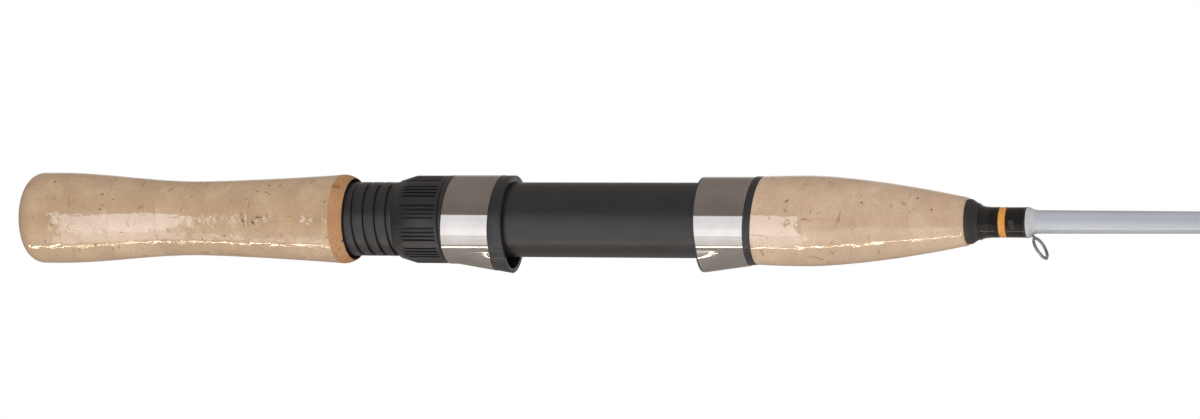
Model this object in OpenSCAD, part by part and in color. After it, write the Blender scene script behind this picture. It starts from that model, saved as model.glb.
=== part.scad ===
// Ice fishing rod: cork grips, screw-down reel seat, solid blank, guides and tip top.
// The rod lies along X, butt face at the origin, tip towards +X, reel and guides on the -Z side.

/* [Overall] */
// Length from the butt face to the front of the tip ring
rod_len = 762; // [700:1:860]

/* [Rear grip] */
// Length of the rear cork grip
rear_len = 93.9; // [91:0.1:95]
// Number of cork rings in the rear grip
rear_rings = 7; // [6:1:8]
// Diameter of the butt swell
butt_d = 24.5; // [23:0.1:27]
// Diameter at the waist
waist_d = 19.9; // [18:0.1:22]
// Diameter of the swell in front of the waist
palm_d = 23.8; // [22:0.1:26]
// Distance from the butt face to the waist
waist_x = 49; // [44:1:54]

/* [Front grip] */
// Length of the front cork grip
fore_len = 54.8; // [50:0.1:60]
// Number of cork rings in the front grip
fore_rings = 4; // [3:1:5]
// Largest diameter of the front grip
fore_d = 23.5; // [22:0.1:25]
// Diameter of the front grip where it meets the winding check
fore_end_d = 12.4; // [12:0.1:14]

/* [Reel seat] */
// Outer diameter of the barrel
barrel_d = 19.7; // [19.5:0.1:20]
// Inner diameter of the barrel
barrel_bore_d = 15.5; // [15:0.1:16]
// Start of the seat, inside the rear grip
seat_start = 86; // [84:0.5:88]
// Rear end of the fixed hood
fixed_hood_x = 190.7; // [186:0.1:196]
// Length of the fixed hood up to its flange
fixed_hood_len = 13.6; // [13:0.1:15]
// Thickness of the flange behind the front grip
flange_t = 2; // [1.8:0.1:2.4]
// Lean of the hoods' cut edges
rake = 4.3; // [3:0.1:5]

/* [Thread and lock nut] */
// Pitch of the single right-hand thread
pitch = 3.2; // [3:0.1:3.4]
// Depth of the thread groove
groove_depth = 0.6; // [0.5:0.05:0.7]
// Outer diameter of the lock nut
nut_d = 23.2; // [23:0.1:23.6]
// Rear end of the lock nut
nut_x = 107.5; // [107:0.1:110]
// Length of the lock nut
nut_len = 13.5; // [12.5:0.1:13.6]
// Number of groups of grip slots round the nut
slot_groups = 12; // [10:1:12]

/* [Sliding hood] */
// Gap between the lock nut and the sliding hood
nut_gap = 0.15; // [0.1:0.05:0.3]
// Length of the sliding hood
slide_hood_len = 16.9; // [16:0.1:17.5]
// Outer diameter of the sliding hood
slide_hood_d = 23.5; // [23.3:0.1:23.9]

/* [Blank] */
// Diameter of the blank in the handle
blank_butt_d = 6.2; // [5.8:0.1:6.4]
// Diameter of the blank half way along
blank_mid_d = 3.9; // [3.6:0.1:4.2]
// Diameter of the blank at the tip
blank_tip_d = 1.9; // [1.7:0.1:2]

/* [Guides] */
// Bore of the first guide ring
guide_bore_1 = 9; // [8:0.1:10]
// Bore of the second guide ring
guide_bore_2 = 7.2; // [6.5:0.1:7.5]
// Bore of the third guide ring
guide_bore_3 = 5.6; // [5:0.1:6]
// Bore of the fourth guide ring
guide_bore_4 = 4.6; // [4:0.1:5]
// Bore of the tip ring
tip_bore = 3.8; // [3.2:0.1:4.2]

/* [Hidden] */
GUIDES = 4;

// fineness of curves, and the glue line left between bonded pieces
fine = 96;
glue = 0.05;
reach = 40;

// rear grip
butt_round = 4.2;
butt_plug = 5;
swell_x = 8;
rim_len = 3;
rim_drop = 0.95;
recess_r = 10.6;
waist_power = 1.45;
cork_step = 2.2;

// reel seat
barrel_r = barrel_d / 2;
barrel_bore_r = barrel_bore_d / 2;
fixed_hood_end = fixed_hood_x + fixed_hood_len;
flange_end = fixed_hood_end + flange_t;
fixed_hood_r = 11.4;
flange_r = 11.5;
bulge_r = 9;
fixed_bulge_axis = [[fixed_hood_x + 0.3, -4.45], [fixed_hood_x + 12.3, -2.75]];
fixed_pocket_end = fixed_hood_end - 2.4;
band_t = 0.5;
hood_wall = 1.3;
rim_inset = 0.1;
lip = 0.4;
keyway_w = 3;
keyway_floor = 9;
keyway_x = [95, 137];
key_side_gap = 0.2;
key_floor_gap = 0.15;
arbor_x = [96, 140, 182];
arbor_len = 16;

// thread: the groove's turn angle follows the place along the barrel
thread_x = [95.6, 130.4];
thread_phase = 200;
thread_steps = 24;
groove_top = 0.6;
groove_bottom = 0.33;
groove_over = 0.3;
groove_run_out = 8;
ridge_x = [nut_x + 2.1, nut_x + 10.5];
ridge_r = 9.5;
ridge_top = 0.24;
ridge_base = 0.36;
ridge_root = 0.4;
run_r = barrel_r + 0.13;

// lock nut
nut_end = nut_x + nut_len;
nut_cone = 4.3;
nut_rear_r = 10.4;
nut_round = 0.3;
slot_floor = 11;
slot_w = 0.55;
slot_end = nut_end - 1.1;
slots = 4;
slot_turn = 5.4;
slot_phase = 19.9;

// sliding hood
slide_x = nut_end + nut_gap;
slide_end = slide_x + slide_hood_len;
slide_r = slide_hood_d / 2;
slide_band_x = [slide_x + 0.95, slide_end - 3.1];
slide_front_x = slide_end + 0.55;
slide_front_rake = 1.6;
slide_bulge_axis = [[slide_x + 2.85, -2.75], [slide_x + 16.35, -4.95]];
pocket_back = slide_x + 4.6;

// front grip
fore_x = flange_end + glue;
fore_end = fore_x + fore_len;
fore_peak_x = fore_x + 12.65;
fore_rear_d = 23;
fore_power = 1.57;

// blank
blank_x = [butt_plug + glue, fore_end + 0.85, 530, rod_len - 5];
blank_r = [blank_butt_d / 2, blank_butt_d / 2, blank_mid_d / 2, blank_tip_d / 2];

// winding check, butt winding and hook keeper
check_x = fore_end + glue;
check_len = 3.3;
check_r = 5.85;
check_rear_r = 5.7;
check_step_r = 5.1;
check_front_r = 4.6;
check_rim = 0.3;
check_step_x = [1.3, 2];
winding_x = check_x + check_len + glue;
winding_len = 12.15;
winding_end = winding_x + winding_len;
winding_t = 0.55;
trim_x = [winding_x + 4.9, winding_x + 7.1];
coat_t = 0.12;
coat_end = winding_end + 2.2;
coat_fillet_r = 4.4;
coat_fillet_x = [1.2, 3];
keeper_x = winding_end + 3.3;
keeper_z = -6.7;
keeper_wire_d = 0.8;
keeper_ring_d = 5.8;
keeper_lean = 30;
keeper_yaw = -10;
keeper_foot_in = 2;
keeper_bend = winding_end + 0.6;
keeper_knot_d = keeper_wire_d * 1.5;

// guides, numbered from the handle towards the tip
guide_x = [rod_len - 370, rod_len - 255, rod_len - 155, rod_len - 70];
guide_bore = [guide_bore_1, guide_bore_2, guide_bore_3, guide_bore_4];
guide_drop = [15, 11.5, 8.8, 7.2];
foot_len = 13;
foot_w = 1.6;
foot_t = 0.3;
foot_gap = 7;
ring_wall = 0.9;
ring_t = 1.5;
ring_round = 0.35;
collar_wall = 0.5;
collar_t = 1.1;
guide_wire_d = 1;
guide_winding_t = 0.65;
leg_side = 0.55;
leg_under = 0.1;
leg_spread = [50, 35];
foot_uncovered = 1.2;
foot_covered = 1.5;

// tip top
tip_tube_x = [rod_len - 17, rod_len - 4.2];
tip_tube_r = 1.6;
tip_drop = 3.6;
tip_leg = [-5, 1.4, -1];
tip_spread = 65;
tip_wire_d = 0.9;
tip_winding_len = 6;
tip_winding_gap = 0.1;

// ---- helpers ----

// turns a profile of [distance along X, radius] points about the rod's axis
module turned(points) {
    rotate([0, 90, 0])
        rotate_extrude($fn = fine)
            polygon([for (p = points) [p[1], p[0]]]);
}

// a round bar along X from a to b
module bar(a, b, r) {
    translate([a, 0, 0])
        rotate([0, 90, 0])
            cylinder(h = b - a, r = r, $fn = fine);
}

// a round bar between any two points
module rod_between(p, q, d) {
    v = q - p;
    len = norm(v);
    translate(p)
        rotate([0, acos(v.z / len), atan2(v.y, v.x)])
            cylinder(h = len, d = d, $fn = 32);
}

// everything in front of, or behind, a plane across the rod that leans forward at the top
module ahead_of(x, lean) {
    translate([x, 0, 0])
        rotate([0, lean, 0])
            translate([0, -reach, -reach])
                cube([2 * reach, 2 * reach, 2 * reach]);
}
module behind(x, lean) {
    translate([x, 0, 0])
        rotate([0, lean, 0])
            translate([-2 * reach, -reach, -reach])
                cube([2 * reach, 2 * reach, 2 * reach]);
}

// ---- cork grips ----

// radius of the rear grip at a place along it
function rear_r(x) =
    x < butt_round
        ? butt_d / 2 - butt_round + sqrt(max(0, butt_round ^ 2 - (butt_round - x) ^ 2))
    : x < swell_x ? butt_d / 2
    : x < waist_x
        ? (butt_d + waist_d) / 4
            + (butt_d - waist_d) / 4 * cos(180 * (x - swell_x) / (waist_x - swell_x))
    : x < rear_len - rim_len
        ? waist_d / 2 + (palm_d - waist_d) / 2
            * ((x - waist_x) / (rear_len - rim_len - waist_x)) ^ waist_power
    : palm_d / 2 - rim_drop * ((x - rear_len + rim_len) / rim_len) ^ 2;

// radius of the front grip at a place along it
function fore_r(x) =
    x < fore_peak_x
        ? fore_d / 2 - (fore_d - fore_rear_d) / 2 * ((fore_peak_x - x) / (fore_peak_x - fore_x)) ^ 2
    : fore_d / 2 - (fore_d - fore_end_d) / 2
        * ((x - fore_peak_x) / (fore_end - fore_peak_x)) ^ fore_power;

function stations(a, b, step) = [for (i = [0:ceil((b - a) / step)]) a + (b - a) * i / ceil((b - a) / step)];

module rear_cork(i) {
    a = rear_len * (i - 1) / rear_rings;
    b = rear_len * i / rear_rings - (i < rear_rings ? glue : 0);
    step = i == 1 ? butt_round / 4 : cork_step;
    color("burlywood")
        difference() {
            turned(concat(
                [[a, 0]],
                [for (x = stations(a, b, step)) [x, rear_r(x)]],
                [[b, 0]]
            ));
            bar(i == 1 ? butt_plug : a - 1, b + 1, blank_butt_d / 2 + glue);
            if (b > seat_start) bar(seat_start - glue, b + 1, recess_r);
        }
}

module fore_cork(i) {
    a = fore_x + fore_len * (i - 1) / fore_rings;
    b = fore_x + fore_len * i / fore_rings - (i < fore_rings ? glue : 0);
    start = i == 1 ? a - 1 : a;
    color("burlywood")
        difference() {
            turned(concat(
                [[start, 0]],
                [for (x = stations(start, b, cork_step)) [x, fore_r(max(x, fore_x))]],
                [[b, 0]]
            ));
            bar(start - 1, b + 1, blank_butt_d / 2 + glue);
            if (i == 1) behind(a, rake);
        }
}

// ---- reel seat ----

// the low round of a hood, on a leaning axis that drops away from the barrel towards its mouth
module bulge(a, b, r, axis_a, axis_b) {
    tilt = atan2(axis_b[1] - axis_a[1], axis_b[0] - axis_a[0]);
    spare = bulge_r + 1;
    intersection() {
        translate([axis_a[0] - spare, 0, axis_a[1] - spare * tan(tilt)])
            rotate([0, 90 - tilt, 0])
                cylinder(h = axis_b[0] - axis_a[0] + 2 * spare, r = r, $fn = fine);
        translate([a, -reach, -reach])
            cube([b - a, 2 * reach, 2 * reach]);
    }
}
module fixed_bulge(a, b, inset) {
    bulge(a, b, bulge_r - inset, fixed_bulge_axis[0], fixed_bulge_axis[1]);
}
module slide_bulge(a, b, inset) {
    bulge(a, b, bulge_r - inset, slide_bulge_axis[0], slide_bulge_axis[1]);
}

// a hood's outline: the round of the barrel, and the low round that holds the foot's pocket
module fixed_form(a, b, inset) {
    bar(a, b, fixed_hood_r - inset);
    fixed_bulge(a, b, inset);
}
module slide_form(a, b, inset) {
    bar(a, b, slide_r - inset);
    slide_bulge(a, b, inset);
}

// points of a screw sweep: each section holds [place along X offset, radius] pairs
function screw_point(x, dx, r, lift) =
    let (turn = 360 * x / pitch + thread_phase)
    [(r + lift) * cos(turn), (r + lift) * sin(turn), x + dx];

module screw(span, section, run_out) {
    n = ceil((span[1] - span[0]) / pitch * thread_steps);
    m = len(section);
    rings = [for (i = [0:n])
        let (
            x = span[0] + (span[1] - span[0]) * i / n,
            ends = min(1, min(i, n - i) / run_out)
        )
        for (p = section) screw_point(x, p[0], p[1], p[2] * (1 - ends))
    ];
    sides = [for (i = [0:n - 1]) for (j = [0:m - 1])
        let (
            p = i * m + j,
            q = i * m + (j + 1) % m
        )
        each [[p, q, q + m], [p, q + m, p + m]]
    ];
    caps = [
        [for (j = [m - 1:-1:0]) j],
        [for (j = [0:m - 1]) n * m + j]
    ];
    rotate([0, 90, 0])
        polyhedron(points = rings, faces = concat(sides, caps), convexity = 20);
}

module reel_seat() {
    color("#2b2b2d")
        difference() {
            union() {
                bar(seat_start, fixed_hood_x + 1, barrel_r);
                fixed_form(fixed_hood_x, fixed_hood_x + lip - glue, rim_inset);
                intersection() {
                    union() {
                        fixed_form(fixed_hood_x, flange_end, band_t + glue);
                        intersection() {
                            bar(fixed_hood_x, flange_end + 2, flange_r);
                            ahead_of(fixed_hood_end, rake);
                        }
                    }
                    behind(flange_end, rake);
                }
            }
            bar(seat_start - 1, flange_end + 3, barrel_bore_r);
            // thread, keyway and the fixed hood's pocket for the reel's foot
            screw(
                thread_x,
                [
                    [-groove_top, barrel_r + groove_over, 0],
                    [groove_top, barrel_r + groove_over, 0],
                    [groove_bottom, barrel_r - groove_depth, groove_depth],
                    [-groove_bottom, barrel_r - groove_depth, groove_depth]
                ],
                groove_run_out
            );
            translate([keyway_x[0], -keyway_w / 2, -barrel_r - 1])
                cube([keyway_x[1] - keyway_x[0], keyway_w, barrel_r + 1 - keyway_floor]);
            difference() {
                fixed_bulge(fixed_hood_x - 1, fixed_pocket_end, hood_wall);
                bar(fixed_hood_x - 2, fixed_hood_end, barrel_r);
            }
        }
}

module fixed_hood_band() {
    color("silver")
        difference() {
            fixed_form(fixed_hood_x + lip, fixed_hood_end + 1, 0);
            fixed_form(fixed_hood_x, fixed_hood_end + 2, band_t);
            ahead_of(fixed_hood_end - glue, rake);
        }
}

module seat_arbor(i) {
    a = arbor_x[i - 1];
    color("tan")
        difference() {
            bar(a, a + arbor_len, barrel_bore_r - glue);
            bar(a - 1, a + arbor_len + 1, blank_butt_d / 2 + glue);
        }
}

// ---- moving hood and its nut ----

module lock_nut() {
    nut_r = nut_d / 2;
    color("#252527") {
        difference() {
            turned([
                [nut_x, run_r],
                [nut_x, nut_rear_r - nut_round],
                [nut_x + nut_round, nut_rear_r],
                [nut_x + nut_cone, nut_r],
                [nut_end - nut_round, nut_r],
                [nut_end, nut_r - nut_round],
                [nut_end, run_r]
            ]);
            for (g = [0:slot_groups - 1])
                for (k = [0:slots - 1])
                    rotate([slot_phase + 360 / slot_groups * g + slot_turn * (k - (slots - 1) / 2), 0, 0])
                        translate([nut_x - 1, -slot_w / 2, -nut_r - 1])
                            cube([slot_end - nut_x + 1, slot_w, nut_r + 1 - slot_floor]);
        }
        screw(
            ridge_x,
            [
                [-ridge_base, run_r + ridge_root, 0],
                [ridge_base, run_r + ridge_root, 0],
                [ridge_top, ridge_r, 0],
                [-ridge_top, ridge_r, 0]
            ],
            1
        );
    }
}

module slide_hood_liner() {
    color("#2b2b2d")
        difference() {
            union() {
                slide_form(slide_x, slide_end + 2, band_t + glue);
                intersection() {
                    slide_form(slide_x, slide_end + 2, rim_inset);
                    union() {
                        behind(slide_band_x[0] - glue, rake);
                        ahead_of(slide_band_x[1] + glue, rake);
                    }
                }
            }
            ahead_of(slide_front_x, slide_front_rake);
            difference() {
                bar(slide_x - 1, slide_end + 3, run_r);
                translate([slide_x - 1, -keyway_w / 2 + key_side_gap, -barrel_r - 1])
                    cube([
                        pocket_back - slide_x,
                        keyway_w - 2 * key_side_gap,
                        barrel_r + 1 - keyway_floor - key_floor_gap
                    ]);
            }
            slide_bulge(pocket_back, slide_end + 3, hood_wall);
        }
}

module slide_hood_band() {
    color("silver")
        difference() {
            intersection() {
                slide_form(slide_x, slide_end, 0);
                ahead_of(slide_band_x[0], rake);
                behind(slide_band_x[1], rake);
            }
            slide_form(slide_x - 1, slide_end + 1, band_t);
        }
}

// ---- blank, winding check and butt winding ----

module blank() {
    color("lightsteelblue")
        turned(concat(
            [[blank_x[0], 0]],
            [for (i = [0:3]) [blank_x[i], blank_r[i]]],
            [[blank_x[3], 0]]
        ));
}

// radius of the blank at a place along it
function blank_at(x) = lookup(x, [for (i = [0:3]) [blank_x[i], blank_r[i]]]);

module winding_check() {
    bore = blank_butt_d / 2 + glue;
    color("#202022")
        turned([
            [check_x, bore],
            [check_x, check_rear_r],
            [check_x + check_rim, check_r],
            [check_x + check_step_x[0], check_rear_r],
            [check_x + check_step_x[1], check_step_r],
            [check_x + check_len, check_front_r],
            [check_x + check_len, bore]
        ]);
}

// a winding of thread: a thin sleeve on the blank, with a flat left inside it for a foot
module sleeve(a, b, t, foot_below) {
    inner = blank_at(a) + glue;
    difference() {
        bar(a, b, inner + t);
        bar(a - 1, b + 1, inner);
        if (foot_below > 0)
            translate([a - 1, -foot_w / 2 - glue, -inner - foot_below])
                cube([b - a + 2, foot_w + 2 * glue, foot_below + 1]);
    }
}

// the black winding on each side of the trim band
module butt_winding(i) {
    a = i == 1 ? winding_x : trim_x[1] + glue;
    b = i == 1 ? trim_x[0] - glue : winding_end;
    color("#151515")
        sleeve(a, b, winding_t, foot_t + glue);
}

module butt_trim_band() {
    color("goldenrod")
        sleeve(trim_x[0], trim_x[1], winding_t, foot_t + glue);
}

module butt_winding_coat() {
    inner = blank_at(winding_x) + winding_t + 2 * glue;
    coat_bore = blank_at(winding_end) + glue;
    color("#d8d8d8", 0.3)
        difference() {
            turned([
                [winding_x, inner],
                [winding_x, coat_fillet_r],
                [winding_x + coat_fillet_x[0], inner + coat_t + 2 * glue],
                [winding_x + coat_fillet_x[1], inner + coat_t],
                [winding_end, inner + coat_t],
                [coat_end, coat_bore + coat_t],
                [coat_end, coat_bore],
                [winding_end + glue, coat_bore],
                [winding_end + glue, inner]
            ]);
            // room for the hook keeper's foot and wire
            translate([keeper_bend - keeper_wire_d, -foot_w / 2 - glue, -coat_fillet_r])
                cube([coat_t + coat_end - winding_end, foot_w + 2 * glue, coat_fillet_r]);
        }
}

module hook_keeper() {
    foot_z = -blank_at(winding_x) - glue - foot_t;
    top = [
        keeper_x - keeper_ring_d / 2 * sin(keeper_lean),
        0,
        keeper_z + keeper_ring_d / 2 * cos(keeper_lean)
    ];
    bend = [keeper_bend, 0, foot_z];
    color("dimgray") {
        translate([winding_x + keeper_foot_in, -foot_w / 2, foot_z])
            cube([bend.x - winding_x - keeper_foot_in, foot_w, foot_t]);
        translate(bend)
            sphere(d = keeper_wire_d, $fn = 24);
        rod_between(bend, top, keeper_wire_d);
        translate(top)
            sphere(d = keeper_knot_d, $fn = 24);
        translate([keeper_x, 0, keeper_z])
            rotate([0, -keeper_lean, keeper_yaw])
                rotate([0, 90, 0])
                    rotate_extrude($fn = fine)
                        translate([keeper_ring_d / 2, 0])
                            circle(d = keeper_wire_d, $fn = 24);
    }
}

// ---- guides ----

module ring_profile(bore_r, wall, t) {
    rotate([0, 90, 0])
        rotate_extrude($fn = fine)
            polygon([
                [bore_r, -t / 2 + ring_round],
                [bore_r + ring_round, -t / 2],
                [bore_r + wall, -t / 2],
                [bore_r + wall, t / 2],
                [bore_r + ring_round, t / 2],
                [bore_r, t / 2 - ring_round]
            ]);
}

// a flat foot on the blank from a to b, and two wires from one end of it to a ring's collar
module foot_and_legs(a, b, leg_x, ring_x, ring_z, ring_r, spread) {
    foot_z = -blank_at(a) - glue - foot_t;
    leg_z = foot_z - guide_wire_d / 2 - leg_under;
    difference() {
        union() {
            translate([a, -foot_w / 2, foot_z])
                cube([b - a, foot_w, foot_t]);
            for (side = [-1, 1])
                rod_between(
                    [leg_x, side * leg_side, leg_z],
                    [ring_x, side * ring_r * sin(spread), ring_z + ring_r * cos(spread)],
                    guide_wire_d
                );
            translate([leg_x, 0, leg_z])
                sphere(r = guide_wire_d, $fn = 24);
        }
        bar(a - foot_gap, b + foot_gap, blank_at(a) + glue / 2);
    }
}

module guide_frame(i) {
    x = guide_x[i - 1];
    drop = guide_drop[i - 1];
    collar_r = guide_bore[i - 1] / 2 + ring_wall + glue;
    leg_r = collar_r + collar_wall / 2;
    rear_end = x - foot_gap;
    front_start = x + foot_gap;
    color("dimgray")
        difference() {
            union() {
                foot_and_legs(rear_end - foot_len, rear_end, rear_end, x, -drop, leg_r, leg_spread[0]);
                if (i == 1)
                    foot_and_legs(
                        front_start, front_start + foot_len, front_start, x, -drop, leg_r, leg_spread[1]
                    );
                translate([0, 0, -drop])
                    bar(x - collar_t / 2, x + collar_t / 2, collar_r + collar_wall);
            }
            translate([0, 0, -drop])
                bar(x - ring_t, x + ring_t, collar_r);
        }
}

module guide_ring(i) {
    color("#303038")
        translate([guide_x[i - 1], 0, -guide_drop[i - 1]])
            ring_profile(guide_bore[i - 1] / 2, ring_wall, ring_t);
}

// windings 1 to 4 hold the guides' rear feet, and the last one holds the first guide's front foot
module guide_winding(i) {
    x = i > GUIDES
        ? guide_x[0] + foot_gap + foot_uncovered
        : guide_x[i - 1] - foot_gap - foot_len - foot_covered;
    color("#151515")
        sleeve(x, x + foot_len + foot_covered - foot_uncovered, guide_winding_t, foot_t + glue);
}

// ---- tip top ----

module tip_top() {
    collar_r = tip_bore / 2 + ring_wall + glue;
    x = rod_len - ring_t / 2;
    color("dimgray")
        difference() {
            union() {
                bar(tip_tube_x[0], tip_tube_x[1], tip_tube_r);
                translate([0, 0, -tip_drop])
                    bar(x - collar_t / 2, x + collar_t / 2, collar_r + collar_wall);
                for (side = [-1, 1])
                    rod_between(
                        [tip_tube_x[1] + tip_leg.x, side * tip_leg.y, tip_leg.z],
                        [
                            x,
                            side * (collar_r + collar_wall / 2) * sin(tip_spread),
                            -tip_drop + collar_r * cos(tip_spread)
                        ],
                        tip_wire_d
                    );
            }
            translate([0, 0, -tip_drop])
                bar(x - ring_t / 2, x + ring_t, collar_r);
            turned([
                [tip_tube_x[0] - 1, 0],
                [tip_tube_x[0] - 1, blank_at(tip_tube_x[0]) + glue],
                [blank_x[3] + glue, blank_at(tip_tube_x[0]) + glue],
                [blank_x[3] + glue, 0]
            ]);
        }
}

module tip_ring() {
    color("#303038")
        translate([rod_len - ring_t / 2, 0, -tip_drop])
            ring_profile(tip_bore / 2, ring_wall, ring_t);
}

module tip_winding() {
    color("#151515")
        sleeve(
            tip_tube_x[0] - tip_winding_gap - tip_winding_len,
            tip_tube_x[0] - tip_winding_gap,
            guide_winding_t / 2,
            0
        );
}

// ---- one solid per name ----

for (i = [1:rear_rings])
    rear_cork(i);
for (i = [1:fore_rings])
    fore_cork(i);
for (i = [1:3])
    seat_arbor(i);
blank();
reel_seat();
fixed_hood_band();
lock_nut();
slide_hood_liner();
slide_hood_band();
winding_check();
for (i = [1:2])
    butt_winding(i);
butt_trim_band();
butt_winding_coat();
hook_keeper();
for (i = [1:GUIDES]) {
    guide_frame(i);
    guide_ring(i);
}
for (i = [1:GUIDES + 1])
    guide_winding(i);
tip_top();
tip_ring();
tip_winding();
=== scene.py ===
import math

import bpy
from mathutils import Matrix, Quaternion, Vector


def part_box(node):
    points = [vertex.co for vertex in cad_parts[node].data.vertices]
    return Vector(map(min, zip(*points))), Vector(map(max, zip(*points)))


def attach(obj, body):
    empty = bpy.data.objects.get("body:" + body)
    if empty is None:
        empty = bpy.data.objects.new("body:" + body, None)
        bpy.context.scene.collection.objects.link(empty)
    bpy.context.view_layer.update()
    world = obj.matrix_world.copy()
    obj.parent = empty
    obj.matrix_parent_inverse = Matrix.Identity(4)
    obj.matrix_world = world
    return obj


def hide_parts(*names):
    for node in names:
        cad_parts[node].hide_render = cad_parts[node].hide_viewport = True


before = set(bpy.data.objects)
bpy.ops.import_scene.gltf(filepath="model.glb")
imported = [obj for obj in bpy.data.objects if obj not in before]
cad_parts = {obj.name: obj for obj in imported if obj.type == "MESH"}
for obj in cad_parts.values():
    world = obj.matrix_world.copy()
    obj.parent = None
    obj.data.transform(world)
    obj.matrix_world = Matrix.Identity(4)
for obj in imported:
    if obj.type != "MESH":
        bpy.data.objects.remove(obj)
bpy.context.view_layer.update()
print("frame loaded")

glue = 0.00005  # room left for glue between two pieces
overshoot = 0.001  # how far a cutting tool stands out of what it cuts


# bench tools

def clearAll():
    if bpy.context.mode != "OBJECT":
        bpy.ops.object.mode_set(mode="OBJECT")
    bpy.ops.object.select_all(action="DESELECT")


def takeNew(name):
    obj = bpy.context.active_object
    obj.name = name
    obj.data.name = name
    bpy.ops.object.transform_apply(location=True, rotation=True, scale=True)
    return obj


def pickOnly(obj):
    clearAll()
    obj.select_set(True)
    bpy.context.view_layer.objects.active = obj


def openEdit(obj):
    pickOnly(obj)
    bpy.ops.object.mode_set(mode="EDIT")
    bpy.ops.mesh.select_all(action="SELECT")


def closeEdit():
    bpy.ops.object.mode_set(mode="OBJECT")


def resizeSome(obj, picked, ratio, centre):  # resizes only the marked points
    openEdit(obj)
    bpy.ops.mesh.select_all(action="DESELECT")
    closeEdit()
    for v, isPicked in zip(obj.data.vertices, picked):
        v.select = isPicked
    bpy.ops.object.mode_set(mode="EDIT")
    bpy.ops.transform.resize(value=ratio, center_override=centre)
    closeEdit()


def tidyMesh(obj, gap=2e-6):  # merges doubles and points the faces outwards
    openEdit(obj)
    bpy.ops.mesh.remove_doubles(threshold=gap)
    bpy.ops.mesh.select_all(action="SELECT")
    bpy.ops.mesh.normals_make_consistent(inside=False)
    closeEdit()


def capEnds(obj):  # fills the open ends
    openEdit(obj)
    bpy.ops.mesh.select_all(action="DESELECT")
    bpy.ops.mesh.select_non_manifold()
    bpy.ops.mesh.edge_face_add()
    closeEdit()
    tidyMesh(obj)


def applyLast(obj):
    pickOnly(obj)
    bpy.ops.object.modifier_apply(modifier=obj.modifiers[-1].name)


def boolean(obj, other, operation="DIFFERENCE"):  # uses the other piece up
    mod = obj.modifiers.new("join", "BOOLEAN")
    mod.operation = operation
    mod.solver = "EXACT"
    mod.object = other
    applyLast(obj)
    bpy.data.objects.remove(other)


def softenEdges(obj, width, angle=40, segments=2):
    mod = obj.modifiers.new("edge", "BEVEL")
    mod.width = width
    mod.segments = segments
    mod.limit_method = "ANGLE"
    mod.angle_limit = math.radians(angle)
    mod.use_clamp_overlap = True
    applyLast(obj)


def smooth(obj, angle=35):
    pickOnly(obj)
    bpy.ops.object.shade_smooth_by_angle(angle=math.radians(angle))


def turnRings(name, rings, sides=96, solid=False):
    # rings are (place along the rod, radius), followed all round the turned outline
    clearAll()
    x, r = rings[0]
    fill = "NGON" if solid else "NOTHING"
    bpy.ops.mesh.primitive_circle_add(
        vertices=sides, radius=r, fill_type=fill, location=(x, 0, 0), rotation=(0, math.pi / 2, 0)
    )
    obj = takeNew(name)
    openEdit(obj)
    for nextX, nextR in rings[1:]:
        bpy.ops.mesh.extrude_region_move(TRANSFORM_OT_translate={"value": (nextX - x, 0, 0)})
        bpy.ops.transform.resize(value=(1, nextR / r, nextR / r), center_override=(nextX, 0, 0))
        x, r = nextX, nextR
    closeEdit()
    tidyMesh(obj)
    return obj


def block(name, centre, size):
    clearAll()
    bpy.ops.mesh.primitive_cube_add(size=1, location=centre)
    bpy.context.active_object.scale = size
    return takeNew(name)


def turnAboutRod(obj, degrees):
    obj.rotation_euler = (math.radians(degrees), 0, 0)
    pickOnly(obj)
    bpy.ops.object.transform_apply(location=False, rotation=True, scale=False)


def moveUp(obj, height):
    openEdit(obj)
    bpy.ops.transform.translate(value=(0, 0, height))
    closeEdit()


def bar(name, start, end, radius, sides=128):
    return turnRings(name, [(start, radius), (end, radius)], sides, solid=True)


def cutAcross(obj, x, leanDegrees, keepFront):  # saws a piece on a plane that may lean
    lean = math.radians(leanDegrees)
    openEdit(obj)
    bpy.ops.mesh.bisect(
        plane_co=(x, 0, 0), plane_no=(math.cos(lean), 0, -math.sin(lean)), use_fill=True,
        clear_inner=keepFront, clear_outer=not keepFront, threshold=1e-6,
    )
    closeEdit()
    tidyMesh(obj)


def moveTogether(obj, *others):
    clearAll()
    for other in others:
        other.select_set(True)
    obj.select_set(True)
    bpy.context.view_layer.objects.active = obj
    bpy.ops.object.join()


def finishPiece(obj, body, nodes, slotName, *materials):
    obj.data.materials.clear()
    for material in materials:
        obj.data.materials.append(material)
    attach(obj, body)
    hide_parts(*nodes)
    return obj


def reach(node):  # rear end, front end and outer radius of a turned node
    low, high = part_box(node)
    return low.x, high.x, high.z


# finishes

def newFinish(name):
    material = bpy.data.materials.new(name)
    material.use_nodes = True
    return material, material.node_tree, material.node_tree.nodes["Principled BSDF"]


def coordinates(tree, shift=(0, 0, 0), stretch=(1, 1, 1)):
    source = tree.nodes.new("ShaderNodeTexCoord")
    mapping = tree.nodes.new("ShaderNodeMapping")
    mapping.inputs["Location"].default_value = shift
    mapping.inputs["Scale"].default_value = stretch
    tree.links.new(source.outputs["Object"], mapping.inputs["Vector"])
    return mapping.outputs["Vector"]


def noise(tree, where, scale, detail=4, roughness=0.5, distortion=0.0):
    node = tree.nodes.new("ShaderNodeTexNoise")
    node.inputs["Scale"].default_value = scale
    node.inputs["Detail"].default_value = detail
    node.inputs["Roughness"].default_value = roughness
    node.inputs["Distortion"].default_value = distortion
    tree.links.new(where, node.inputs["Vector"])
    return node.outputs["Fac"]


def ramp(tree, source, *stops):  # stops are (place, colour)
    node = tree.nodes.new("ShaderNodeValToRGB")
    elements = node.color_ramp.elements
    for element, (place, colour) in zip(elements, stops):
        element.position = place
        element.color = (*colour, 1)
    for place, colour in stops[2:]:
        elements.new(place).color = (*colour, 1)
    tree.links.new(source, node.inputs["Fac"])
    return node.outputs["Color"]


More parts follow.
